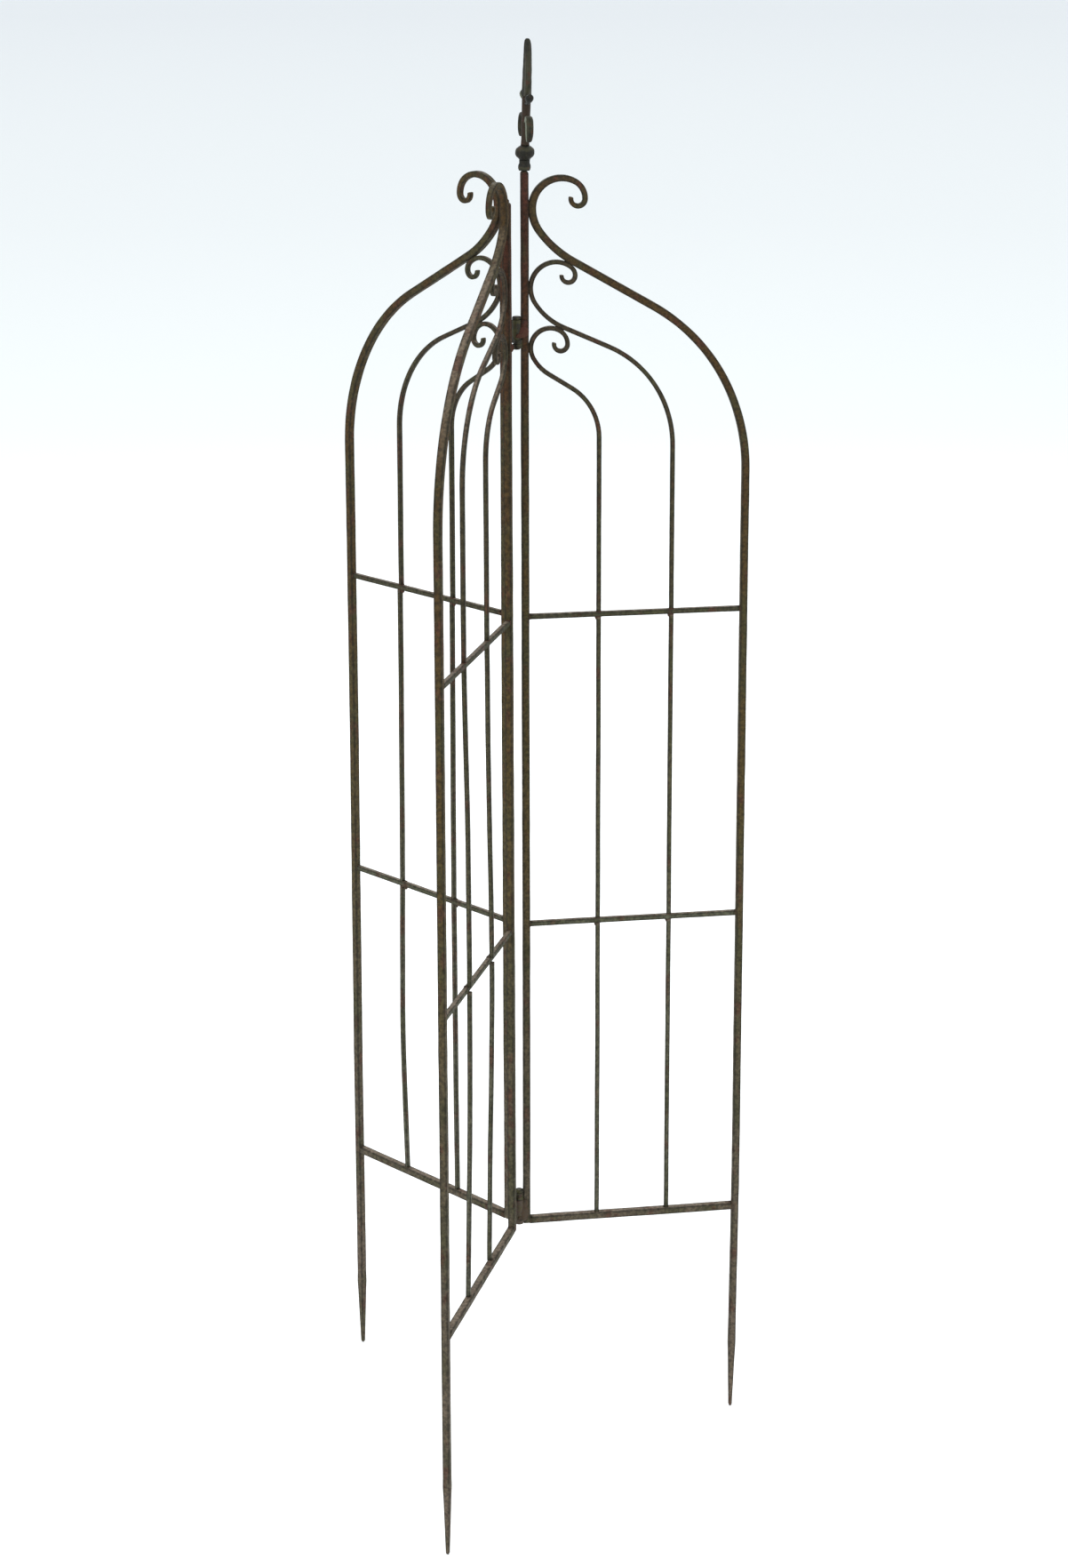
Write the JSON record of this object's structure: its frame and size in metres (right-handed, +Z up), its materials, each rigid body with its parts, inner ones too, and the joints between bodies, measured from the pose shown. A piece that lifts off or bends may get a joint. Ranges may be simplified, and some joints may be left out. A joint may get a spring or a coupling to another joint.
{
  "type": "folding garden trellis",
  "caption": "Folding garden trellis: hinged wings of welded square bar with scrolled arches, rails, rods, ground spikes and a spear finial, for climbing plants.",
  "frame": {"origin": "middle of the bounding box at the level of the spike tips", "axes": "+Z up along the posts, +X along wing A from the hinge axis to its leg"},
  "size_m": [0.4396, 0.4616, 1.6479],
  "materials": {
    "frame_bar": "weathered",
    "rail_bar": "weathered",
    "rod_bar": "weathered",
    "hinge_iron": "weathered",
    "finial_casting": "weathered"
  },
  "bodies": {
    "wing_a": {"post_a": "frame_bar", "arch_a": "frame_bar", "bottom_rail_a": "frame_bar", "middle_rail_a": "rail_bar", "upper_rail_a": "rail_bar", "middle_rod_lower_a": "rod_bar", "middle_rod_upper_a": "rod_bar", "middle_arch_a": "rod_bar", "inner_rod_lower_a": "rod_bar", "inner_rod_upper_a": "rod_bar", "inner_arch_a": "rod_bar", "hinge_sleeve_upper": "hinge_iron", "hinge_pin_upper": "hinge_iron", "hinge_sleeve_lower": "hinge_iron", "hinge_pin_lower": "hinge_iron", "finial_collar": "finial_casting", "finial_knop": "finial_casting", "finial_stem": "finial_casting", "finial_blade": "finial_casting", "finial_leaf_left": "finial_casting", "finial_leaf_right": "finial_casting", "finial_bud_left": "finial_casting", "finial_bud_right": "finial_casting"},
    "wing_b": {"post_b": "frame_bar", "arch_b": "frame_bar", "bottom_rail_b": "frame_bar", "middle_rail_b": "rail_bar", "upper_rail_b": "rail_bar", "middle_rod_lower_b": "rod_bar", "middle_rod_upper_b": "rod_bar", "middle_arch_b": "rod_bar", "inner_rod_lower_b": "rod_bar", "inner_rod_upper_b": "rod_bar", "inner_arch_b": "rod_bar", "hinge_eye_upper_b": "hinge_iron", "hinge_eye_lower_b": "hinge_iron"},
    "wing_c": {"post_c": "frame_bar", "arch_c": "frame_bar", "bottom_rail_c": "frame_bar", "middle_rail_c": "rail_bar", "upper_rail_c": "rail_bar", "middle_rod_lower_c": "rod_bar", "middle_rod_upper_c": "rod_bar", "middle_arch_c": "rod_bar", "inner_rod_lower_c": "rod_bar", "inner_rod_upper_c": "rod_bar", "inner_arch_c": "rod_bar", "hinge_eye_upper_c": "hinge_iron", "hinge_eye_lower_c": "hinge_iron"}
  },
  "joints": [
    {"name": "wing_b_hinge", "type": "hinge", "parent": "wing_a", "child": "wing_b", "pos_m": [-0.04353, 0.01791, 0.8], "axis": [0, 0, 1], "range_deg": [-54, 35]},
    {"name": "wing_c_hinge", "type": "hinge", "parent": "wing_a", "child": "wing_c", "pos_m": [-0.04353, 0.01791, 0.8], "axis": [0, 0, 1], "range_deg": [-36, 106]}
  ]
}
